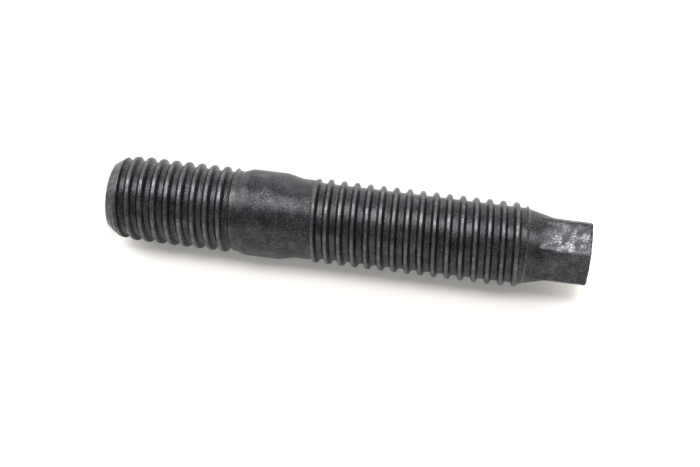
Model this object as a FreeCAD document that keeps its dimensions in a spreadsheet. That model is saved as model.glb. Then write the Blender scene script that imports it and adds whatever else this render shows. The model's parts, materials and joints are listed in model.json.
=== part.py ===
import FreeCAD, Part
import math
import os

import Sketcher

# A collar stud, one piece of steel: a short tap-end thread, a plain collar, a longer nut-end
# thread and a hexagonal drive end. It stands on its tap end, with its axis along +Z and the
# origin at the centre of the tap-end face. Each thread is a row of ring grooves with the
# thread's pitch, depth and flanks. Sizes are in millimetres and degrees.

NODE = "threaded_stud"

# name, value, what it measures
SIZES = [
    # tap end
    ("tap_end_dia", 6.4, "flat face that the stud stands on"),
    ("tap_chamfer", 1.0, "length of the lead-in chamfer"),
    ("tap_crest_dia", 8.0, "outside of the tap-end thread"),
    ("tap_length", 11.1, "tap-end face to the end of its thread"),
    # collar
    ("relief_dia", 7.68, "plain band between the tap-end thread and the collar"),
    ("relief_length", 1.2, "length of the plain band, where the thread runs out"),
    ("shoulder_length", 1.1, "rounded lower shoulder of the collar"),
    ("collar_dia", 8.24, "straight land of the collar"),
    ("collar_length", 2.9, "length of the straight land"),
    ("ogee_length", 2.0, "S-shaped fall from the collar to the neck"),
    # nut end
    ("neck_dia", 7.56, "plain neck under the nut-end thread"),
    ("neck_length", 0.9, "length of the neck"),
    ("flare_length", 0.5, "rise from the neck to the crests"),
    ("nut_crest_dia", 7.9, "outside of the nut-end thread"),
    ("nut_length", 18.8, "stretch of full-height crests"),
    ("nut_chamfer", 1.0, "length of the chamfer that ends the thread"),
    # drive end
    ("taper_dia", 6.92, "large end of the taper"),
    ("taper_angle", 13.5, "slope of the taper from the axis"),
    ("taper_length", 2.7, "taper, with the stretch that runs out inside the hexagon"),
    ("hex_flats", 5.76, "drive end across its flats"),
    ("drive_length", 5.75, "start of the taper to the end of the stud"),
    ("rim_round", 0.22, "rounding of the drive end's rim"),
    # threads
    ("thread_pitch", 1.25, "from one groove to the next, on both ends"),
    ("groove_depth", 0.45, "crest to the floor of a groove"),
    ("groove_floor", 0.42, "width of the flat floor"),
    ("flank_angle", 30.0, "slope of a flank from square to the axis"),
    ("tap_lead", 0.58, "end of the lead-in chamfer to the middle of the first groove"),
    ("nut_lead", 0.69, "start of the nut-end crests to the middle of the first groove"),
    ("cutter_clear", 0.1, "how far the grooving tool's section stands out of the crests"),
]

# the stretches of the stud that follow one another up to its drive end
STRETCHES = [
    "tap_length",
    "relief_length",
    "shoulder_length",
    "collar_length",
    "ogee_length",
    "neck_length",
    "flare_length",
    "nut_length",
    "nut_chamfer",
]

# half the width of a groove at the crests
HALF_MOUTH = "(sizes.groove_floor / 2 + sizes.groove_depth * tan(sizes.flank_angle))"

# names that the sketcher gives to fixed geometry and to the points of a curve
ORIGIN = -1
LEVEL_AXIS = -1
START, END, CENTRE = 1, 2, 3


def top_of(stretch):
    """The height where a stretch of the stud ends, as an expression over the sheet."""
    below = STRETCHES[: STRETCHES.index(stretch) + 1]
    return " + ".join(f"sizes.{name}" for name in below)


def make_sheet(doc):
    """Fill the sheet of driving sizes and name each value's cell."""
    sheet = doc.addObject("Spreadsheet::Sheet", "sizes")
    for row, (alias, value, meaning) in enumerate(SIZES, start=1):
        sheet.set(f"A{row}", meaning)
        sheet.set(f"B{row}", str(value))
        sheet.setAlias(f"B{row}", alias)
    doc.recompute()
    return sheet


def new_sketch(body, name, role):
    """An empty sketch on the body's own origin plane with this role."""
    sketch = body.newObject("Sketcher::SketchObject", name)
    plane = next(f for f in body.Origin.OriginFeatures if f.Role == role)
    sketch.AttachmentSupport = [(plane, "")]
    sketch.MapMode = "FlatFace"
    return sketch


def bind(sketch, kind, *refs_and_size):
    """Add a distance to a sketch and tie it to an expression over the sheet."""
    *refs, size = refs_and_size
    value = float(sketch.evalExpression(size))
    index = sketch.addConstraint(Sketcher.Constraint(kind, *refs, value))
    sketch.setExpression(f"Constraints[{index}]", size)


class Outline:
    """A turned outline, drawn up from the foot of the axis: radius along x, height along y."""

    def __init__(self, sketch):
        self.sketch = sketch
        self.point = FreeCAD.Vector(0, 0, 0)
        self.end = (ORIGIN, START)

    def _size(self, size):
        return float(self.sketch.evalExpression(size))

    def _join(self, curve):
        """Add a curve that begins where the last one ended."""
        index = self.sketch.addGeometry(curve, False)
        self.sketch.addConstraint(Sketcher.Constraint("Coincident", *self.end, index, START))
        self.end = (index, END)
        self.point = curve.EndPoint
        return index

    def _line(self, radius, height):
        return self._join(Part.LineSegment(self.point, FreeCAD.Vector(radius, height, 0)))

    def face(self, radius):
        """A flat ring, square to the axis, out or in to a radius."""
        line = self._line(self._size(radius), self.point.y)
        self.sketch.addConstraint(Sketcher.Constraint("Horizontal", line))
        bind(self.sketch, "DistanceX", ORIGIN, START, line, END, radius)

    def side(self, length):
        """A straight side, parallel to the axis."""
        line = self._line(self.point.x, self.point.y + self._size(length))
        self.sketch.addConstraint(Sketcher.Constraint("Vertical", line))
        bind(self.sketch, "DistanceY", line, START, line, END, length)

    def slope(self, radius, length):
        """A cone to a radius."""
        line = self._line(self._size(radius), self.point.y + self._size(length))
        bind(self.sketch, "DistanceX", ORIGIN, START, line, END, radius)
        bind(self.sketch, "DistanceY", line, START, line, END, length)

    def swell(self, radius, length):
        """A bulging arc out to a radius, where it runs parallel to the axis."""
        out, up = self._size(radius) - self.point.x, self._size(length)
        bend = (out * out + up * up) / (2 * out)
        centre = self.point + FreeCAD.Vector(out - bend, up, 0)
        lean = math.asin(up / bend)
        circle = Part.Circle(centre, FreeCAD.Vector(0, 0, 1), bend)
        arc = self._join(Part.ArcOfCircle(circle, -lean, 0.0))
        self.sketch.addConstraint(Sketcher.Constraint("Horizontal", arc, CENTRE, arc, END))
        bind(self.sketch, "DistanceX", ORIGIN, START, arc, END, radius)
        bind(self.sketch, "DistanceY", arc, START, arc, END, length)

    def ogee(self, radius, length):
        """An S of two equal arcs in to a radius, parallel to the axis at both ends."""
        fall, up = self.point.x - self._size(radius), self._size(length)
        bend = (fall * fall + up * up) / (4 * fall)
        lean = math.asin(up / (2 * bend))
        normal = FreeCAD.Vector(0, 0, 1)
        low = Part.Circle(self.point - FreeCAD.Vector(bend, 0, 0), normal, bend)
        top = FreeCAD.Vector(self.point.x - fall + bend, self.point.y + up, 0)
        high = Part.Circle(top, normal, bend)
        bulge = self._join(Part.ArcOfCircle(low, 0.0, lean))
        hollow = self.sketch.addGeometry(
            Part.ArcOfCircle(high, math.pi, math.pi + lean), False
        )
        self.sketch.addConstraint(Sketcher.Constraint("Tangent", bulge, END, hollow, END))
        self.sketch.addConstraint(Sketcher.Constraint("Equal", bulge, hollow))
        for arc in (bulge, hollow):
            level = Sketcher.Constraint("Horizontal", arc, CENTRE, arc, START)
            self.sketch.addConstraint(level)
        self.end = (hollow, START)
        self.point = top - FreeCAD.Vector(bend, 0, 0)
        bind(self.sketch, "DistanceX", ORIGIN, START, hollow, START, radius)
        bind(self.sketch, "DistanceY", bulge, START, hollow, START, length)

    def close(self):
        """Go in to the axis and back down to its foot."""
        line = self._line(0, self.point.y)
        self.sketch.addConstraint(Sketcher.Constraint("Horizontal", line))
        axis = self._line(0, 0)
        self.sketch.addConstraint(Sketcher.Constraint("Vertical", axis))
        self.sketch.addConstraint(Sketcher.Constraint("Coincident", axis, END, ORIGIN, START))


def turn_blank(body):
    """The stud as it is before its threads and flats: one turned solid."""
    sketch = new_sketch(body, "TurnedOutline", "XZ_Plane")
    outline = Outline(sketch)
    outline.face("sizes.tap_end_dia / 2")
    outline.slope("sizes.tap_crest_dia / 2", "sizes.tap_chamfer")
    outline.side("sizes.tap_length - sizes.tap_chamfer")
    outline.face("sizes.relief_dia / 2")
    outline.side("sizes.relief_length")
    outline.swell("sizes.collar_dia / 2", "sizes.shoulder_length")
    outline.side("sizes.collar_length")
    outline.ogee("sizes.neck_dia / 2", "sizes.ogee_length")
    outline.side("sizes.neck_length")
    outline.slope("sizes.nut_crest_dia / 2", "sizes.flare_length")
    outline.side("sizes.nut_length")
    outline.slope("sizes.taper_dia / 2", "sizes.nut_chamfer")
    outline.slope(
        "sizes.taper_dia / 2 - sizes.taper_length * tan(sizes.taper_angle)",
        "sizes.taper_length",
    )
    outline.close()
    blank = body.newObject("PartDesign::Revolution", "TurnedBlank")
    blank.Profile = sketch
    blank.ReferenceAxis = (sketch, ["V_Axis"])
    blank.Angle = 360.0
    return blank


def add_drive(body):
    """The hexagon, with one corner to the front, and the rounding of its rim."""
    sketch = new_sketch(body, "DriveHexagon", "XY_Plane")
    sketch.setExpression("AttachmentOffset.Base.z", top_of("nut_chamfer"))
    across = float(sketch.evalExpression("sizes.hex_flats"))
    corner = across / math.sqrt(3)
    corners = [
        FreeCAD.Vector(corner * math.cos(a), corner * math.sin(a), 0)
        for a in (math.radians(30 + 60 * k) for k in range(6))
    ]
    rim = Part.Circle(FreeCAD.Vector(0, 0, 0), FreeCAD.Vector(0, 0, 1), corner)
    guide = sketch.addGeometry(rim, True)
    sketch.addConstraint(Sketcher.Constraint("Coincident", guide, CENTRE, ORIGIN, START))
    sides = [
        sketch.addGeometry(Part.LineSegment(p, q), False)
        for p, q in zip(corners, corners[1:] + corners[:1])
    ]
    for near, far in zip(sides, sides[1:] + sides[:1]):
        sketch.addConstraint(Sketcher.Constraint("Coincident", near, END, far, START))
        sketch.addConstraint(Sketcher.Constraint("PointOnObject", near, END, guide))
    for other in sides[1:]:
        sketch.addConstraint(Sketcher.Constraint("Equal", sides[0], other))
    # the sides that face left and right stand upright in the sketch, so a corner faces front
    left, right = sides[2], sides[5]
    sketch.addConstraint(Sketcher.Constraint("Vertical", right))
    bind(sketch, "DistanceX", left, START, right, END, "sizes.hex_flats")
    drive = body.newObject("PartDesign::Pad", "Drive")
    drive.Profile = sketch
    drive.setExpression("Length", "sizes.drive_length")
    body.Document.recompute()

    top = drive.Shape.BoundBox.ZMax
    rim_edges = [
        f"Edge{n}"
        for n, edge in enumerate(drive.Shape.Edges, start=1)
        if all(abs(v.Z - top) < 1e-6 for v in edge.Vertexes)
    ]
    rounding = body.newObject("PartDesign::Fillet", "DriveRim")
    rounding.Base = (drive, rim_edges)
    rounding.setExpression("Radius", "sizes.rim_round")
    return rounding


def cut_thread(body, name, crest_dia, foot, lead, land):
    """A row of ring grooves with flat floors and sloping flanks, as many as the land holds.

    The last four are expressions: the crests' diameter, the height where the land of crests
    begins, the way from there to the middle of the first groove, and the land's length.
    """
    sketch = new_sketch(body, f"{name}Section", "XZ_Plane")
    sketch.setExpression("AttachmentOffset.Base.y", f"{foot} + {lead}")
    floor = f"{crest_dia} / 2 - sizes.groove_depth"
    mouth = f"{crest_dia} / 2 + sizes.cutter_clear"
    floor_width = "sizes.groove_floor"
    mouth_width = f"2 * ({HALF_MOUTH} + sizes.cutter_clear * tan(sizes.flank_angle))"
    inner, outer, narrow, wide = (
        float(sketch.evalExpression(size)) for size in (floor, mouth, floor_width, mouth_width)
    )
    corners = [
        FreeCAD.Vector(radius, height, 0)
        for radius, height in (
            (inner, narrow / 2),
            (inner, -narrow / 2),
            (outer, -wide / 2),
            (outer, wide / 2),
        )
    ]
    sides = [
        sketch.addGeometry(Part.LineSegment(p, q), False)
        for p, q in zip(corners, corners[1:] + corners[:1])
    ]
    for near, far in zip(sides, sides[1:] + sides[:1]):
        sketch.addConstraint(Sketcher.Constraint("Coincident", near, END, far, START))
    for side, low, high, radius, width in (
        (sides[0], END, START, floor, floor_width),
        (sides[2], START, END, mouth, mouth_width),
    ):
        sketch.addConstraint(Sketcher.Constraint("Symmetric", side, low, side, high, LEVEL_AXIS))
        bind(sketch, "DistanceX", ORIGIN, START, side, low, radius)
        bind(sketch, "DistanceY", side, low, side, high, width)
    groove = body.newObject("PartDesign::Groove", f"{name}Groove")
    groove.Profile = sketch
    groove.ReferenceAxis = (sketch, ["V_Axis"])
    groove.Angle = 360.0

    row = body.newObject("PartDesign::LinearPattern", name)
    row.Originals = [groove]
    row.Direction = (sketch, ["V_Axis"])
    row.Mode = "Spacing"
    row.setExpression("Offset", "sizes.thread_pitch")
    row.setExpression(
        "Occurrences", f"floor(({land} - {lead} - {HALF_MOUTH}) / sizes.thread_pitch) + 1"
    )
    body.Tip = row
    return row


def build(doc):
    """The stud, feature by feature."""
    make_sheet(doc)
    body = doc.addObject("PartDesign::Body", NODE)
    body.Label = NODE
    body.Placement = FreeCAD.Placement()
    turn_blank(body)
    add_drive(body)
    cut_thread(
        body,
        "TapThread",
        "sizes.tap_crest_dia",
        "sizes.tap_chamfer",
        "sizes.tap_lead",
        "(sizes.tap_length - sizes.tap_chamfer)",
    )
    cut_thread(
        body,
        "NutThread",
        "sizes.nut_crest_dia",
        top_of("flare_length"),
        "sizes.nut_lead",
        "sizes.nut_length",
    )
    doc.recompute()
    return body


def check(doc, parts):
    """Stop if a feature failed or a shape is missing or broken."""
    for item in doc.Objects:
        if "Invalid" in item.State or "Error" in item.State:
            raise RuntimeError(f"{item.Name} failed: {item.State}")
    for part in parts:
        if part.Shape.isNull() or not part.Shape.isValid():
            raise RuntimeError(f"{part.Label} has no valid shape")
        if len(part.Shape.Solids) != 1:
            raise RuntimeError(f"{part.Label} is not one solid")


def main():
    doc = FreeCAD.newDocument("stud")
    stud = build(doc)
    check(doc, [stud])
    os.makedirs("parts", exist_ok=True)
    stud.Shape.exportStep(f"parts/{stud.Label}.step")
    box = stud.Shape.BoundBox
    print("box", [round(v, 3) for v in (box.XLength, box.YLength, box.ZLength)])
    print("volume", round(stud.Shape.Volume, 2), "faces", len(stud.Shape.Faces))


main()
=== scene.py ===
import json
import logging
import math
from dataclasses import dataclass, field
from enum import Enum

import bpy
from mathutils import Matrix, Vector

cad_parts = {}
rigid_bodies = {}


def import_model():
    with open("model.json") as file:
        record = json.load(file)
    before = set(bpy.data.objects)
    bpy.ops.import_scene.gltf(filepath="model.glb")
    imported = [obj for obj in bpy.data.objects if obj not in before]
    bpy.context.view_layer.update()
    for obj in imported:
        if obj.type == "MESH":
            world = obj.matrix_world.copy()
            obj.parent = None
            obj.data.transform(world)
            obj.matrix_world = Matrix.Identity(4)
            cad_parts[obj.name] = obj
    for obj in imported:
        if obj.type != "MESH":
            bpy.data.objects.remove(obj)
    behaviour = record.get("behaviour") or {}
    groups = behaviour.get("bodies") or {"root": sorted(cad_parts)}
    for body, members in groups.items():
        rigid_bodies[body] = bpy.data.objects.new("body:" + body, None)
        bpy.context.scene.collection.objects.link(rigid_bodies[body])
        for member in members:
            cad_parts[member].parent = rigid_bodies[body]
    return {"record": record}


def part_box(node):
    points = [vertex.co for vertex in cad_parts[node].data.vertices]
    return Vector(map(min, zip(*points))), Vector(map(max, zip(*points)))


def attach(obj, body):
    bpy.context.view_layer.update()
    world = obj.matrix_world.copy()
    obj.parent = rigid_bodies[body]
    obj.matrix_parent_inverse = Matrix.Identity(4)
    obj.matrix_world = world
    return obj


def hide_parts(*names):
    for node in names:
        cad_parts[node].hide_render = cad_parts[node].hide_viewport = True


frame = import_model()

# The dressed model of a dark steel collar stud. Lengths in the classes are millimetres along
# and across the stud's axis, which is +Z; meshes are in metres, in the frame of the solids.

LOG = logging.getLogger("stud")
MM = 0.001
BODY = "root"
NODE = "threaded_stud"
SLOT = "phosphated_steel"
PHOTO_SIZE = (700, 467)
STARTUP_THINGS = ("Cube", "Light", "Camera")
SIDES = 6
SIXTH = math.tau / SIDES

Span = tuple[float, float]
Triple = tuple[float, float, float]
Colour = Triple
WHITE: Colour = (1.0, 1.0, 1.0)

# Where a Mix node that is set to colours has its two colours and its result.
MIXED_INPUTS = (6, 7)
MIXED_OUTPUT = 2


class Ease(Enum):
    """How a number goes from one value to the next."""

    STRAIGHT = "LINEAR"
    OGEE = "SMOOTHSTEP"


class Finish(Enum):
    """The attributes that the mesh carries for its material."""

    GROOVE = "groove"
    THREAD = "thread"
    DRIVE = "drive"
    CORNER = "corner"


class Ray(Enum):
    """The kinds of ray that show a thing: straight, mirrored and through glass."""

    STRAIGHT = "Is Camera Ray"
    MIRRORED = "Is Glossy Ray"
    THROUGH = "Is Transmission Ray"


class Field:
    """A number that varies from place to place, held as a socket of a node tree."""

    def __init__(self, tree: bpy.types.NodeTree, socket: bpy.types.NodeSocket) -> None:
        """Keep the tree and the socket that gives the number."""
        self.tree = tree
        self.socket = socket

    def _math(self, operation: str, *others: "Field | float") -> "Field":
        """Add one math node.

        Args:
            operation: the node's operation.
            others: the other operands, as fields or plain numbers.

        Returns:
            The result as a field.
        """
        node = self.tree.nodes.new("ShaderNodeMath")
        node.operation = operation
        for slot, value in zip(node.inputs, (self, *others)):
            if isinstance(value, Field):
                self.tree.links.new(value.socket, slot)
            else:
                slot.default_value = value
        return Field(self.tree, node.outputs[0])

    def __add__(self, other: "Field | float") -> "Field":
        """The sum."""
        return self._math("ADD", other)

    def __sub__(self, other: "Field | float") -> "Field":
        """The difference."""
        return self._math("SUBTRACT", other)

    def __mul__(self, other: "Field | float") -> "Field":
        """The product."""
        return self._math("MULTIPLY", other)

    def __truediv__(self, other: "Field | float") -> "Field":
        """The quotient."""
        return self._math("DIVIDE", other)

    def level(self, value: float) -> "Field":
        """The same number everywhere."""
        return self * 0.0 + value

    def rest(self) -> "Field":
        """What is missing from 1."""
        return self * -1.0 + 1.0

    def cubed(self) -> "Field":
        """The third power."""
        return self * self * self

    def least(self, other: "Field | float") -> "Field":
        """The smaller of two numbers."""
        return self._math("MINIMUM", other)

    def most(self, other: "Field | float") -> "Field":
        """The larger of two numbers."""
        return self._math("MAXIMUM", other)

    def size(self) -> "Field":
        """The number without its sign."""
        return self._math("ABSOLUTE")

    def fraction(self) -> "Field":
        """What is left above the whole number below."""
        return self._math("FRACT")

    def above(self, limit: "Field | float") -> "Field":
        """1 where the number is above a limit, and 0 elsewhere."""
        return self._math("GREATER_THAN", limit)

    def sine(self) -> "Field":
        """The sine of an angle in radians."""
        return self._math("SINE")

    def cosine(self) -> "Field":
        """The cosine of an angle in radians."""
        return self._math("COSINE")

    def root(self) -> "Field":
        """The square root."""
        return self._math("SQRT")

    def ramp(
        self,
        start: "Field | float",
        end: "Field | float",
        ease: Ease = Ease.STRAIGHT,
    ) -> "Field":
        """Go from 0 to 1 between two values, and stay there.

        Args:
            start: where the ramp leaves 0.
            end: where it reaches 1.
            ease: the shape of the ramp.

        Returns:
            The ramp as a field.
        """
        node = self.tree.nodes.new("ShaderNodeMapRange")
        node.interpolation_type = ease.value
        node.clamp = True
        self.tree.links.new(self.socket, node.inputs["Value"])
        for name, value in (("From Min", start), ("From Max", end)):
            if isinstance(value, Field):
                self.tree.links.new(value.socket, node.inputs[name])
            else:
                node.inputs[name].default_value = value
        return Field(self.tree, node.outputs["Result"])


def weighted(fields: tuple[Field, ...], shares: tuple[float, ...]) -> Field:
    """Add up fields, each times its share.

    Args:
        fields: the numbers to add.
        shares: how much each of them counts.

    Returns:
        The sum.
    """
    total = fields[0] * shares[0]
    for part, share in zip(fields[1:], shares[1:]):
        total = total + part * share
    return total


def rays(tree: bpy.types.NodeTree, *kinds: Ray) -> Field:
    """Tell some kinds of ray from the rest.

    Args:
        tree: the node tree of a material or of the world.
        kinds: the kinds of ray to pick.

    Returns:
        1 for rays of these kinds, and 0 for others.
    """
    path = tree.nodes.new("ShaderNodeLightPath")
    picked = Field(tree, path.outputs[kinds[0].value])
    for kind in kinds[1:]:
        picked = picked.most(Field(tree, path.outputs[kind.value]))
    return picked


def places(tree: bpy.types.NodeTree, kind: str) -> tuple[Field, Field, Field]:
    """The coordinates of each place that a material or the world shades.

    Args:
        tree: the node tree.
        kind: which of the texture coordinates to read.

    Returns:
        The three coordinates.
    """
    place = tree.nodes.new("ShaderNodeTexCoord")
    split = tree.nodes.new("ShaderNodeSeparateXYZ")
    tree.links.new(place.outputs[kind], split.inputs[0])
    x, y, z = (Field(tree, socket) for socket in split.outputs)
    return x, y, z


@dataclass(frozen=True)
class Noise:
    """Soft random marks: their width in millimetres, their finer layers and their stretch."""

    size: float
    detail: float
    stretch: Triple = (1.0, 1.0, 1.0)


@dataclass(frozen=True)
class Marks:
    """Noise with more contrast: where marks begin and are full, and how strong they are."""

    noise: Noise
    span: Span
    strength: float = 1.0


@dataclass(frozen=True)
class Wear:
    """How bare a worn place is: a least share all over, and more where it has marks."""

    least: float
    more: float

    def where(self, marks: Field) -> Field:
        """The share of bare metal, for marks from 0 to 1."""
        return marks * self.more + self.least


class Surface:
    """A node material under construction, and the few kinds of node that finishes need."""

    def __init__(self, name: str, shift: Triple) -> None:
        """Start a material with one plain shader.

        Args:
            name: the material's name.
            shift: where in the noise its marks begin.
        """
        self.material = bpy.data.materials.new(name)
        self.material.use_nodes = True
        self.tree = self.material.node_tree
        self.shader = self.tree.nodes["Principled BSDF"]
        self.place = self.tree.nodes.new("ShaderNodeTexCoord").outputs["Object"]
        self.shift = shift

    def attribute(self, finish: Finish) -> Field:
        """Read one of the mesh's own attributes.

        Args:
            finish: the attribute.

        Returns:
            Its value as a field.
        """
        node = self.tree.nodes.new("ShaderNodeAttribute")
        node.attribute_name = finish.value
        return Field(self.tree, node.outputs["Fac"])

    def noise(self, noise: Noise) -> Field:
        """Lay out soft random marks.

        Args:
            noise: their width, layers and stretch.

        Returns:
            The marks, from 0 to 1 with a mean of about a half.
        """
        scale = self.tree.nodes.new("ShaderNodeVectorMath")
        scale.operation = "MULTIPLY_ADD"
        scale.inputs[1].default_value = [1 / (noise.size * MM * s) for s in noise.stretch]
        scale.inputs[2].default_value = self.shift
        self.tree.links.new(self.place, scale.inputs[0])
        node = self.tree.nodes.new("ShaderNodeTexNoise")
        node.inputs["Scale"].default_value = 1.0
        node.inputs["Detail"].default_value = noise.detail
        self.tree.links.new(scale.outputs[0], node.inputs["Vector"])
        return Field(self.tree, node.outputs["Fac"])

    def marks(self, marks: Marks) -> Field:
        """The marks, from 0 to their strength."""
        return self.noise(marks.noise).ramp(*marks.span) * marks.strength

    def blend(
        self,
        share: Field,
        below: "bpy.types.NodeSocket | Colour",
        above: "bpy.types.NodeSocket | Colour",
    ) -> bpy.types.NodeSocket:
        """Mix two colours.

        Args:
            share: how much of the second colour shows.
            below: the first colour, plain or from a socket.
            above: the second colour, plain or from a socket.

        Returns:
            The socket of the mixed colour.
        """
        node = self.tree.nodes.new("ShaderNodeMix")
        node.data_type = "RGBA"
        self.tree.links.new(share.socket, node.inputs[0])
        for number, colour in zip(MIXED_INPUTS, (below, above)):
            if isinstance(colour, tuple):
                node.inputs[number].default_value = (*colour, 1.0)
            else:
                self.tree.links.new(colour, node.inputs[number])
        return node.outputs[MIXED_OUTPUT]

    def bump(self, height: Field, depth: float) -> None:
        """Roughen the surface.

        Args:
            height: the relief, from 0 to 1.
            depth: its depth in millimetres.
        """
        node = self.tree.nodes.new("ShaderNodeBump")
        node.inputs["Distance"].default_value = depth * MM
        self.tree.links.new(height.socket, node.inputs["Height"])
        self.tree.links.new(node.outputs["Normal"], self.shader.inputs["Normal"])


@dataclass(frozen=True)
class PhosphatedSteel:
    """Dark phosphate coating on steel, worn brighter on the crests and on the drive end, where one
    flat also has painted light; pale specks are partly painted glints.
    """

    name: str = SLOT

    # The coating's colours, and those of the bare metal, which also serve for painted glints and for
    # painted light on one flat of the drive end.
    dark: Colour = (0.0155, 0.016, 0.0183)
    pale: Colour = (0.053, 0.055, 0.061)
    brown: Colour = (0.040, 0.036, 0.032)
    bloom: Colour = (0.125, 0.127, 0.138)
    worn: Colour = (0.42, 0.42, 0.435)
    scuff_and_light: Colour = (0.56, 0.57, 0.60)
    metal: float = 0.85

    # Uneven tone, stains and bloom of the coating.
    shift: Triple = (3.1, 1.7, 0.4)
    cloud: Noise = Noise(1.1, 5.0)
    grain: Noise = Noise(0.13, 3.0)
    rings: Noise = Noise(0.13, 2.0, (40.0, 40.0, 1.0))
    tone_shares: Triple = (0.45, 0.43, 0.12)
    tone_span: Span = (0.40, 0.60)
    stains: Marks = Marks(Noise(2.6, 2.0), (0.52, 0.72), 0.6)
    blooms: Marks = Marks(Noise(1.4, 5.0), (0.50, 0.68), 0.55)
    bloom_grain: Span = (0.35, 0.60)

    # Wear on the crests, pale specks all over that are partly painted glints, and scuffs on the
    # hexagon's flat and corners, the flat partly painted light.
    breaks: Marks = Marks(Noise(0.5, 5.0), (0.42, 0.68))
    crest_depth: float = 0.06
    crest_wear: Wear = Wear(0.078, 0.182)
    specks_and_glints: Marks = Marks(Noise(0.09, 2.0), (0.57, 0.70), 0.26)
    patches: Marks = Marks(Noise(0.8, 6.0), (0.45, 0.62))
    flecks: Marks = Marks(Noise(0.15, 3.0), (0.40, 0.62))
    flat_scuff_and_light: Wear = Wear(0.05, 0.78)
    corner_span: Span = (0.35, 1.0)
    corner_wear: Wear = Wear(0.25, 0.6)

    # Roughness, smoother where worn, and fine relief.
    rough: Span = (0.25, 0.42)
    rough_shares: Span = (0.15, 0.85)
    rough_span: Span = (0.35, 0.65)
    polish: float = 0.4
    relief: float = 0.022
    relief_shares: Span = (0.7, 0.3)

    def material(self) -> bpy.types.Material:
        """Build the coating as a node material.

        Returns:
            The material.
        """
        skin = Surface(self.name, self.shift)
        cloud = skin.noise(self.cloud)
        grain = skin.noise(self.grain)
        rings = skin.noise(self.rings)
        tone = weighted((cloud, grain, rings), self.tone_shares)
        colour = skin.blend(tone.ramp(*self.tone_span), self.dark, self.pale)
        colour = skin.blend(skin.marks(self.stains), colour, self.brown)
        blooms = skin.marks(self.blooms) * grain.ramp(*self.bloom_grain)
        colour = skin.blend(blooms, colour, self.bloom)

        breaks = skin.marks(self.breaks)
        groove = skin.attribute(Finish.GROOVE)
        crest = skin.attribute(Finish.THREAD) * groove.ramp(self.crest_depth, 0.0)
        wear = crest * self.crest_wear.where(breaks)
        colour = skin.blend(wear, colour, self.worn)
        # Pale specks of bare metal all over, partly painted glints.
        colour = skin.blend(skin.marks(self.specks_and_glints), colour, self.worn)

        scuffed = skin.marks(self.patches) * skin.marks(self.flecks)
        # Scuffs on the hexagon, partly painted light: the flat turned towards the lamps is paler all
        # over.
        flat = skin.attribute(Finish.DRIVE) * self.flat_scuff_and_light.where(scuffed)
        colour = skin.blend(flat, colour, self.scuff_and_light)
        corner = skin.attribute(Finish.CORNER).ramp(*self.corner_span)
        colour = skin.blend(corner * self.corner_wear.where(breaks), colour, self.worn)
        skin.tree.links.new(colour, skin.shader.inputs["Base Color"])

        low, high = self.rough
        uneven = weighted((cloud, grain), self.rough_shares).ramp(*self.rough_span)
        rough = uneven * (high - low) + low - wear * self.polish
        skin.tree.links.new(rough.socket, skin.shader.inputs["Roughness"])
        skin.shader.inputs["Metallic"].default_value = self.metal
        skin.bump(weighted((grain, rings), self.relief_shares), self.relief)
        return skin.material


@dataclass(frozen=True)
class Step:
    """One change of radius along the axis of a turned outline."""

    start: float
    end: float
    change: float
    ease: Ease = Ease.STRAIGHT


@dataclass(frozen=True)
class ThreadForm:
    """The section of a right-hand thread: its pitch, and the rest in shares of the pitch."""

    pitch: float = 1.25
    depth: float = 0.33
    floor: float = 8 / 24
    flank: float = 6 / 24


@dataclass(frozen=True)
class ThreadRun:
    """One threaded stretch: its form, and where its groove fades in and out along the axis."""

    name: str
    form: ThreadForm
    crest: float
    fade_in: Span
    fade_out: Span
    shift: float


@dataclass(frozen=True)
class Rolled:
    """A flat sheet, and where its points go when it is rolled up along the thread's helix.

    Rise is the height above the helix, and height and angle are along and round the axis. Under
    and over go from 0 at the rim of the lower or upper end face to 1 at its middle.
    """

    sheet: bpy.types.Node
    rise: Field
    height: Field
    angle: Field
    under: Field
    over: Field


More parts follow.
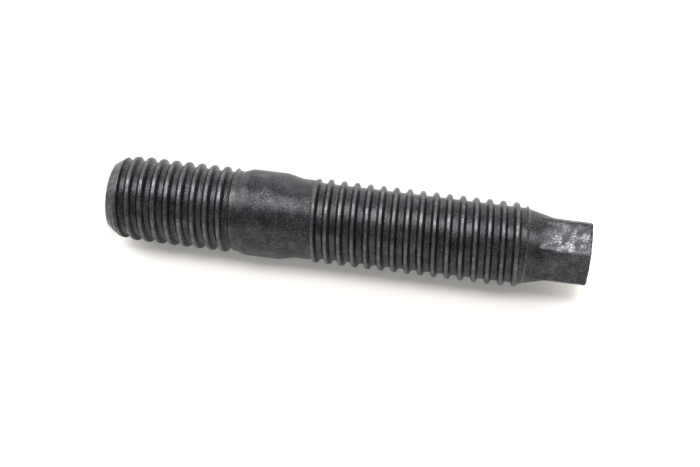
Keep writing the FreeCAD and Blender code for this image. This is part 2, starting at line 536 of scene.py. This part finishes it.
@dataclass
class Stud:
    """The stud itself: turned outline, two threads and a hexagonal drive end."""

    length: float
    tap_crest: float
    nut_crest: float
    collar: float
    tap_form: ThreadForm = ThreadForm(floor=6 / 24, flank=7 / 24)
    nut_form: ThreadForm = ThreadForm()
    finish: PhosphatedSteel = PhosphatedSteel()

    # Tap end: radii, lengths, and where its groove fades in, and fades out round the relief.
    tap_end: float = 3.2
    tap_chamfer: float = 1.0
    lead_fall: float = 0.12
    lead_length: float = 2.6
    tap_length: float = 11.7
    tap_fade_in: Span = (-2.0, -1.0)
    tap_fade_out: Span = (-0.2, 0.9)

    # Relief below the collar, the collar with its two shoulders, and the neck.
    relief: float = 3.84
    relief_fall: float = 0.15
    relief_length: float = 0.6
    shoulder_length: float = 1.1
    collar_length: float = 2.9
    ogee_length: float = 2.0
    neck: float = 3.78
    neck_length: float = 0.9

    # Nut thread, its last crest and the taper. Both threads' crests swell towards the collar.
    flare_length: float = 0.5
    nut_length: float = 18.8
    nut_fade_in: float = 0.2
    nut_fade_out: Span = (-0.1, 0.1)
    crest_swell: float = 0.06
    nut_chamfer: float = 1.0
    last_crest: float = 3.72
    last_fall: float = 0.25
    taper: float = 3.46
    taper_angle: float = 13.5
    taper_length: float = 2.7

    # Drive end. Its scuffs start at a height above the taper's foot; on the flat turned towards the
    # lamps they are partly painted light. They are full from a share of a flat before one corner,
    # end a share past it, and are faint elsewhere.
    hex_flats: float = 5.76
    hex_corner: float = 3.27
    rim_round: float = 0.22
    scuffed_lit_flat: int = 4
    scuff_start: float = 0.9
    scuff_full: float = 0.45
    scuff_past: float = 0.06
    scuff_elsewhere: float = 0.06

    # Mesh: faces round the axis and along it, the distance at which points merge, and the angle
    # from which an edge stays sharp.
    columns: int = 96
    rows_per_pitch: int = 24
    cap_rows: int = 6
    weld: float = 0.002
    sharp_deg: float = 38.0
    stations: dict[str, float] = field(default_factory=dict)

    def __post_init__(self) -> None:
        """Work out the heights at which one feature gives way to the next."""
        level = 0.0
        for name, rise in (
            ("relief", self.tap_length),
            ("shoulder", self.relief_length),
            ("land", self.shoulder_length),
            ("ogee", self.collar_length),
            ("neck", self.ogee_length),
            ("flare", self.neck_length),
            ("nut", self.flare_length),
            ("chamfer", self.nut_length),
            ("taper", self.nut_chamfer),
        ):
            level += rise
            self.stations[name] = level

    def outline(self) -> list[Step]:
        """The changes of radius from the tap end to the drive end.

        Returns:
            The steps, in order, on top of the tap-end face's radius.
        """
        at = self.stations
        tap_crest = self.tap_crest + self.crest_swell
        nut_crest = self.nut_crest + self.crest_swell
        drop = at["relief"] + self.relief_fall
        last = at["taper"] - self.last_fall
        foot = at["taper"] + self.taper_length
        fall = self.taper_length * math.tan(math.radians(self.taper_angle))
        return [
            Step(0.0, self.tap_chamfer, self.tap_crest - self.tap_end - self.lead_fall),
            Step(self.tap_chamfer, self.lead_length, self.lead_fall + self.crest_swell),
            Step(at["relief"], drop, self.relief - tap_crest),
            Step(at["shoulder"], at["land"], self.collar - self.relief, Ease.OGEE),
            Step(at["ogee"], at["neck"], self.neck - self.collar, Ease.OGEE),
            Step(at["flare"], at["nut"], nut_crest - self.neck),
            Step(at["nut"], at["chamfer"], -self.crest_swell),
            Step(at["chamfer"], last, self.last_crest - self.nut_crest),
            Step(last, at["taper"], self.taper - self.last_crest),
            Step(at["taper"], foot, -fall),
        ]

    def threads(self) -> list[ThreadRun]:
        """The tap-end and nut-end threads.

        Returns:
            The two runs, with the place of each groove.
        """
        at = self.stations
        tap_out, tap_gone = (at["relief"] + offset for offset in self.tap_fade_out)
        nut_out, nut_gone = (at["taper"] + offset for offset in self.nut_fade_out)
        return [
            ThreadRun(
                name="Tap",
                form=self.tap_form,
                crest=self.tap_crest,
                fade_in=self.tap_fade_in,
                fade_out=(tap_out, tap_gone),
                shift=-self.tap_form.pitch / 2,
            ),
            ThreadRun(
                name="Nut",
                form=self.nut_form,
                crest=self.nut_crest,
                fade_in=(at["flare"], at["nut"] + self.nut_fade_in),
                fade_out=(nut_out, nut_gone),
                shift=at["flare"] + self.flare_length / 2,
            ),
        ]

    def build(self) -> bpy.types.Object:
        """Make the stud's mesh with a geometry tree, dress it and bake it.

        Returns:
            The finished object, at the origin.
        """
        tree = bpy.data.node_groups.new("stud_form", "GeometryNodeTree")
        sizes = {"Pitch": self.nut_form.pitch, "Hex flats": self.hex_flats}
        for run in self.threads():
            sizes[run.name + " groove depth"] = run.form.depth * run.form.pitch
            sizes[run.name + " groove floor"] = run.form.floor
            sizes[run.name + " flank"] = run.form.flank
        for name in sizes:
            tree.interface.new_socket(name, in_out="INPUT", socket_type="NodeSocketFloat")
        tree.interface.new_socket("Steel", in_out="INPUT", socket_type="NodeSocketMaterial")
        tree.interface.new_socket("Geometry", in_out="OUTPUT", socket_type="NodeSocketGeometry")
        self._fill(tree)

        carrier = bpy.data.objects.new(NODE + "_form", bpy.data.meshes.new(NODE))
        bpy.context.scene.collection.objects.link(carrier)
        form = carrier.modifiers.new("form", "NODES")
        form.node_group = tree
        sockets = {item.name: item.identifier for item in tree.interface.items_tree}
        for name, size in sizes.items():
            form[sockets[name]] = size
        self.dress(form, sockets["Steel"])
        graph = bpy.context.evaluated_depsgraph_get()
        baked = bpy.data.meshes.new_from_object(carrier.evaluated_get(graph))
        baked.name = NODE + "_dressed"
        bpy.data.objects.remove(carrier)
        baked.set_sharp_from_angle(angle=math.radians(self.sharp_deg))
        piece = bpy.data.objects.new(NODE + "_dressed", baked)
        bpy.context.scene.collection.objects.link(piece)
        return piece

    def dress(self, form: bpy.types.NodesModifier, socket: str) -> None:
        """Give the stud its finish, through the socket for it in the geometry tree."""
        form[socket] = self.finish.material()

    def _fill(self, tree: bpy.types.NodeTree) -> None:
        """Lay out the geometry tree: a sheet that is rolled up along the thread's helix.

        Args:
            tree: the empty tree, with its inputs.
        """
        given = tree.nodes.new("NodeGroupInput")
        sizes = {
            socket.name: Field(tree, socket) for socket in given.outputs if socket.type == "VALUE"
        }
        roll = self._roll(tree, sizes["Pitch"])
        radius, grooved, threaded = self._threaded(roll, sizes)
        radius = radius.most(self._drive(roll, sizes["Hex flats"]))
        radius = radius * roll.under.rest() * roll.over.rest()
        marks = {
            Finish.GROOVE: grooved,
            Finish.THREAD: threaded,
            Finish.DRIVE: self._scuffed_and_lit(roll),
            Finish.CORNER: self._cornered(roll),
        }

        chain = [roll.sheet]
        for finish, value in marks.items():
            keep = tree.nodes.new("GeometryNodeStoreNamedAttribute")
            keep.data_type = "FLOAT"
            keep.domain = "POINT"
            keep.inputs["Name"].default_value = finish.value
            tree.links.new(value.socket, keep.inputs["Value"])
            chain.append(keep)
        chain.append(self._put(roll, radius))
        weld = tree.nodes.new("GeometryNodeMergeByDistance")
        weld.inputs["Distance"].default_value = self.weld * MM
        chain.append(weld)
        chain.append(tree.nodes.new("GeometryNodeSetShadeSmooth"))
        chain.append(tree.nodes.new("GeometryNodeRealizeInstances"))
        paint = tree.nodes.new("GeometryNodeSetMaterial")
        tree.links.new(given.outputs["Steel"], paint.inputs["Material"])
        chain.append(paint)
        chain.append(tree.nodes.new("NodeGroupOutput"))
        for before, after in zip(chain, chain[1:]):
            tree.links.new(before.outputs[0], after.inputs[0])

    def _roll(self, tree: bpy.types.NodeTree, pitch: Field) -> Rolled:
        """Lay a flat sheet, and work out where on the stud each of its points goes.

        Args:
            tree: the geometry tree.
            pitch: the pitch of the helix.

        Returns:
            The sheet and its places.
        """
        row = self.nut_form.pitch / self.rows_per_pitch
        cap = self.cap_rows * row
        low = -math.ceil((self.nut_form.pitch + cap) / row + 1) * row
        count = math.ceil((self.length + cap - low) / row + 1)
        sheet = tree.nodes.new("GeometryNodeMeshGrid")
        for name, value in (
            ("Size X", 1.0),
            ("Size Y", count * row),
            ("Vertices X", self.columns + 1),
            ("Vertices Y", count + 1),
        ):
            sheet.inputs[name].default_value = value
        where = tree.nodes.new("GeometryNodeInputPosition")
        split = tree.nodes.new("ShaderNodeSeparateXYZ")
        tree.links.new(where.outputs[0], split.inputs[0])
        turn = Field(tree, split.outputs["X"]) + 0.5
        rise = Field(tree, split.outputs["Y"]) + (count * row / 2 + low)
        snug = self._snap(rise + turn * pitch, row)
        return Rolled(
            sheet=sheet,
            rise=rise,
            height=snug.most(0.0).least(self.length),
            angle=turn * math.tau,
            under=(snug * -1.0).ramp(0.0, cap),
            over=(snug - self.length).ramp(0.0, cap),
        )

    def _snap(self, raw: Field, row: float) -> Field:
        """Pull the row nearest to each end face onto that face's rim.

        Args:
            raw: height along the helix.
            row: distance between rows.

        Returns:
            The height with its rows snapped to both rims.
        """
        snug = raw
        for rim in (0.0, self.length):
            far = (raw - rim).size().above(row / 2)
            snug = snug * far + far.rest() * rim
        return snug

    def _threaded(self, roll: Rolled, sizes: dict[str, Field]) -> tuple[Field, Field, Field]:
        """Turn the outline and cut both threads into it.

        Args:
            roll: the sheet's places.
            sizes: the tree's inputs by name.

        Returns:
            The radius, the depth of the groove as a share, and where threads run.
        """
        height = roll.height
        radius = height.level(self.tap_end)
        for step in self.outline():
            radius = radius + height.ramp(step.start, step.end, step.ease) * step.change
        grooved = height.level(0.0)
        threaded = height.level(0.0)
        for run in self.threads():
            depth = sizes[run.name + " groove depth"]
            half_floor = sizes[run.name + " groove floor"] / 2.0
            flank = sizes[run.name + " flank"]
            place = ((roll.rise - run.shift) / sizes["Pitch"] + 0.5).fraction() - 0.5
            share = place.size().ramp(half_floor + flank, half_floor, Ease.OGEE)
            reach = height.ramp(*run.fade_in) * height.ramp(*run.fade_out[::-1])
            cut = (radius - run.crest + share * depth).most(0.0).least(depth * share)
            radius = radius - cut * reach
            grooved = grooved + cut * reach / depth
            threaded = threaded + reach
        return radius, grooved, threaded

    def _drive(self, roll: Rolled, flats: Field) -> Field:
        """The hexagon's radius, with its corners eased and its rim rounded.

        Args:
            roll: the sheet's places.
            flats: size across the flats.

        Returns:
            The radius, or 0 below the drive end.
        """
        lean = ((roll.angle / SIXTH + 0.5).fraction() - 0.5) * SIXTH
        rim = roll.height.ramp(self.length - self.rim_round, self.length)
        inset = (rim * rim).rest().root().rest() * self.rim_round
        corner = inset * -1.0 + self.hex_corner
        hexagon = ((flats / 2.0 - inset) / lean.cosine()).least(corner)
        return hexagon * roll.height.above(self.stations["taper"])

    def _below_rim(self, height: Field) -> Field:
        """1 on the hexagon's sides and 0 on the end face."""
        return height.ramp(self.length, self.length - self.rim_round / 4)

    def _scuffed_and_lit(self, roll: Rolled) -> Field:
        """How much of the drive end's scuffs and painted light each place gets: most on the flat
        turned towards the lamps.

        Args:
            roll: the sheet's places.

        Returns:
            The share, from 0 to 1.
        """
        corner = (self.scuffed_lit_flat + 0.5) * SIXTH
        side = roll.angle.ramp(corner - SIXTH, corner - SIXTH * self.scuff_full)
        side = side * roll.angle.ramp(corner + SIXTH * self.scuff_past, corner)
        side = side * (1.0 - self.scuff_elsewhere) + self.scuff_elsewhere
        foot = self.stations["taper"]
        along = roll.height.ramp(foot + self.scuff_start, foot + self.taper_length)
        return along * side * self._below_rim(roll.height)

    def _cornered(self, roll: Rolled) -> Field:
        """Where the hexagon's corners are, for the wear along them.

        Args:
            roll: the sheet's places.

        Returns:
            The share, 1 on a corner and 0 a column of faces away from it.
        """
        off = ((roll.angle / SIXTH).fraction() - 0.5).size()
        foot = self.stations["taper"]
        along = roll.height.ramp(foot + self.taper_length / 2, foot + self.taper_length)
        return off.ramp(SIDES / self.columns, 0.0) * along * self._below_rim(roll.height)

    def _put(self, roll: Rolled, radius: Field) -> bpy.types.Node:
        """Move the sheet's points to their places round the axis.

        Args:
            roll: the sheet's places.
            radius: distance of each point from the axis.

        Returns:
            The node that moves them.
        """
        tree = radius.tree
        join = tree.nodes.new("ShaderNodeCombineXYZ")
        for name, value in (
            ("X", radius * roll.angle.cosine() * MM),
            ("Y", radius * roll.angle.sine() * MM),
            ("Z", roll.height * MM),
        ):
            tree.links.new(value.socket, join.inputs[name])
        put = tree.nodes.new("GeometryNodeSetPosition")
        tree.links.new(join.outputs[0], put.inputs["Position"])
        return put


@dataclass(frozen=True)
class PhotoCamera:
    """The camera of the photograph, found from the rows of thread crests."""

    focal_px: float = 1124.0
    yaw_deg: float = 5.99
    roll_deg: float = 7.10
    twist_deg: float = 2.9
    collar_at: Triple = (-4.25, 1.40, -106.84)
    collar_level: float = 18.6
    near: float = 2.0

    def place(self) -> bpy.types.Object:
        """Make the camera and look through it.

        Returns:
            The camera object.
        """
        yaw = math.radians(self.yaw_deg)
        roll = math.radians(self.roll_deg)
        axis = Vector(
            (
                math.cos(yaw) * math.cos(roll),
                -math.cos(yaw) * math.sin(roll),
                math.sin(yaw),
            )
        )
        back = (axis.z * axis - Vector((0.0, 0.0, 1.0))).normalized()
        back = Matrix.Rotation(math.radians(self.twist_deg), 3, axis) @ back
        across = back.cross(axis)
        turn = Matrix((across, back, axis))
        foot = Vector(self.collar_at) - self.collar_level * axis
        data = bpy.data.cameras.new("photo_camera")
        data.sensor_fit = "HORIZONTAL"
        data.angle = 2 * math.atan(PHOTO_SIZE[0] / 2 / self.focal_px)
        data.clip_start = self.near * MM
        camera = bpy.data.objects.new("photo_camera", data)
        camera.matrix_world = Matrix.Translation(turn @ -foot * MM) @ turn.to_4x4()
        bpy.context.scene.collection.objects.link(camera)
        bpy.context.scene.camera = camera
        return camera


@dataclass(frozen=True)
class Paper:
    """Matt white paper, burnt out to white where no shadow falls on it, with painted light that
    lightens the stud's shadow near its ends.
    """

    name: str
    white: Colour = (0.84, 0.815, 0.785)

    # How much of the lamps' light and of an even glow shows, and where more glow sets in: below
    # and above these heights, as painted light that lightens the stud's shadow near its ends, and
    # beyond this distance from the axis.
    burn: float = 0.76
    lift: float = 0.275
    painted_glow: float = 0.92
    low_end: Span = (7.0, -1.0)
    high_end: Span = (38.4, 46.7)
    wide: Span = (30.0, 70.0)

    def material(self) -> bpy.types.Material:
        """Build the paper, which is see-through from behind.

        Returns:
            The material.
        """
        made = bpy.data.materials.new(self.name)
        made.use_nodes = True
        tree = made.node_tree
        nodes = tree.nodes
        links = tree.links
        nodes.remove(nodes["Principled BSDF"])
        seen = rays(tree, *Ray)
        share = seen * (self.burn - 1.0) + 1.0
        tone = nodes.new("ShaderNodeVectorMath")
        tone.operation = "SCALE"
        tone.inputs[0].default_value = self.white
        links.new(share.socket, tone.inputs["Scale"])
        matte = nodes.new("ShaderNodeBsdfDiffuse")
        links.new(tone.outputs[0], matte.inputs["Color"])
        glow = nodes.new("ShaderNodeEmission")
        glow.inputs["Color"].default_value = (*self.white, 1.0)
        # Painted light: more glow near the stud's ends lightens its shadow there; more far from the
        # stud whitens the paper.
        strength = seen * (self._painted_glow_share(tree) * self.painted_glow + self.lift)
        links.new(strength.socket, glow.inputs["Strength"])
        lit = nodes.new("ShaderNodeAddShader")
        links.new(matte.outputs[0], lit.inputs[0])
        links.new(glow.outputs[0], lit.inputs[1])
        side = nodes.new("ShaderNodeNewGeometry")
        clear = nodes.new("ShaderNodeBsdfTransparent")
        choose = nodes.new("ShaderNodeMixShader")
        links.new(side.outputs["Backfacing"], choose.inputs[0])
        links.new(lit.outputs[0], choose.inputs[1])
        links.new(clear.outputs[0], choose.inputs[2])
        links.new(choose.outputs[0], nodes["Material Output"].inputs["Surface"])
        return made

    def _painted_glow_share(self, tree: bpy.types.NodeTree) -> Field:
        """How far a place is from the middle of the stud, for camera rays alone.

        It sets the share of painted glow: painted light that lightens the stud's shadow near its
        ends, and more glow far from the stud.

        Args:
            tree: the paper's node tree.

        Returns:
            0 beside the stud, rising to 1 at its ends and far to either side.
        """
        x, y, z = (axis / MM for axis in places(tree, "Object"))
        ends = z.ramp(*self.low_end).cubed() + z.ramp(*self.high_end).cubed()
        beside = (x * x + y * y).root().ramp(*self.wide)
        return ends.most(beside) * rays(tree, Ray.STRAIGHT)


@dataclass(frozen=True)
class Lamp:
    """A soft rectangular lamp, placed by its angle above the line from stud to camera."""

    name: str
    above_deg: float
    along: float
    distance: float
    size: Span
    energy: float
    aim: float = 22.0

    def hang(self) -> None:
        """Hang the lamp in the scene."""
        angle = math.radians(self.above_deg)
        out = Vector((-math.sin(angle), -math.cos(angle), 0.0)) * self.distance
        aim = Vector((0.0, 0.0, self.aim))
        place = aim + out + Vector((0.0, 0.0, self.along))
        data = bpy.data.lights.new(self.name, "AREA")
        data.shape = "RECTANGLE"
        data.size, data.size_y = (side * MM for side in self.size)
        data.energy = self.energy
        lamp = bpy.data.objects.new(self.name, data)
        turn = (aim - place).to_track_quat("-Z", "Y").to_matrix().to_4x4()
        lamp.matrix_world = Matrix.Translation(place * MM) @ turn
        bpy.context.scene.collection.objects.link(lamp)


@dataclass(frozen=True)
class Stage:
    """The sheets of paper under and behind the stud, and the light in the room."""

    tilt_deg: float = 36.0
    gap: float = 0.03
    reach: float = 400.0

    # The room's light on things, and the least that reflections show of it, towards the camera.
    fill: float = 0.42
    dimmest: float = 0.36
    front: Span = (-0.3, 0.6)
    lamps: tuple[Lamp, ...] = (
        Lamp("key", above_deg=70.0, along=-60.0, distance=250.0, size=(260.0, 600.0), energy=0.22),
        Lamp("strip", above_deg=39.0, along=-30.0, distance=250.0, size=(140.0, 500.0), energy=0.92),
        Lamp("top", above_deg=114.0, along=-20.0, distance=250.0, size=(160.0, 500.0), energy=0.20),
        Lamp("end", above_deg=60.0, along=-260.0, distance=160.0, size=(200.0, 200.0), energy=0.19),
    )

    def sheet(self, paper: Paper, corners: list[Vector]) -> bpy.types.Object:
        """One flat sheet of paper.

        Args:
            paper: what it is made of.
            corners: its corners in millimetres, anticlockwise as seen from its front.

        Returns:
            The sheet.
        """
        mesh = bpy.data.meshes.new(paper.name)
        mesh.from_pydata([c * MM for c in corners], [], [tuple(range(len(corners)))])
        mesh.materials.append(paper.material())
        made = bpy.data.objects.new(paper.name, mesh)
        bpy.context.scene.collection.objects.link(made)
        return made

    def set_up(self, collar: float) -> None:
        """Lay the floor, stand the backdrop behind the collar and light the room.

        Args:
            collar: radius of the collar, which all but touches the backdrop.
        """
        far = self.reach
        floor = [(-far, -far), (far, -far), (far, far), (-far, far)]
        ground = self.sheet(Paper("floor"), [Vector((x, y, 0.0)) for x, y in floor])
        # The stud lies down in the picture, so light from beyond its tap end passes the floor.
        ground.visible_shadow = False
        ground.visible_glossy = False
        ground.visible_diffuse = False
        tilt = math.radians(self.tilt_deg)
        normal = Vector((-math.cos(tilt), -math.sin(tilt), 0.0))
        along = Vector((-normal.y, normal.x, 0.0))
        foot = -normal * (collar + self.gap)
        wall = [foot - along * far, foot + along * far]
        top = Vector((0.0, 0.0, far))
        corners = [wall[0], wall[1], wall[1] + top, wall[0] + top]
        self.sheet(Paper("backdrop"), corners)
        for lamp in self.lamps:
            lamp.hang()
        self._world()

    def _world(self) -> None:
        """Fill the room with soft white light, which dims towards the camera in reflections."""
        world = bpy.data.worlds.new("room")
        world.use_nodes = True
        bpy.context.scene.world = world
        tree = world.node_tree
        ahead = places(tree, "Generated")[1] * -1.0
        unseen = rays(tree, Ray.STRAIGHT).rest()
        dim = ahead.ramp(*self.front, Ease.OGEE).least(unseen)
        shown = dim * (self.dimmest - 1.0) + 1.0
        strength = rays(tree, *Ray) * (shown - self.fill) + self.fill
        room = tree.nodes["Background"]
        tree.links.new(strength.socket, room.inputs["Strength"])
        room.inputs["Color"].default_value = (*WHITE, 1.0)


def mount_radius(name: str) -> float:
    """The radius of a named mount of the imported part, in millimetres."""
    mounts = {m["name"]: m for m in frame["record"]["mounts"]}
    return mounts[name]["dims"]["r_mm"]


def main() -> None:
    """Build the stud, its stage and its camera."""
    logging.basicConfig(level=logging.INFO)
    for thing in list(bpy.data.objects):
        if thing.name in STARTUP_THINGS:
            bpy.data.objects.remove(thing)
    bpy.context.scene.view_settings.view_transform = "Standard"
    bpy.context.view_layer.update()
    _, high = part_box(NODE)
    stud = Stud(
        length=high.z / MM,
        tap_crest=mount_radius("tap_thread"),
        nut_crest=mount_radius("nut_thread"),
        collar=mount_radius("collar_land"),
    )
    piece = stud.build()
    LOG.info("%s: %d faces", piece.name, len(piece.data.polygons))
    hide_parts(NODE)
    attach(piece, BODY)
    Stage().set_up(stud.collar)
    PhotoCamera().place()


if __name__ == "__main__":
    main()
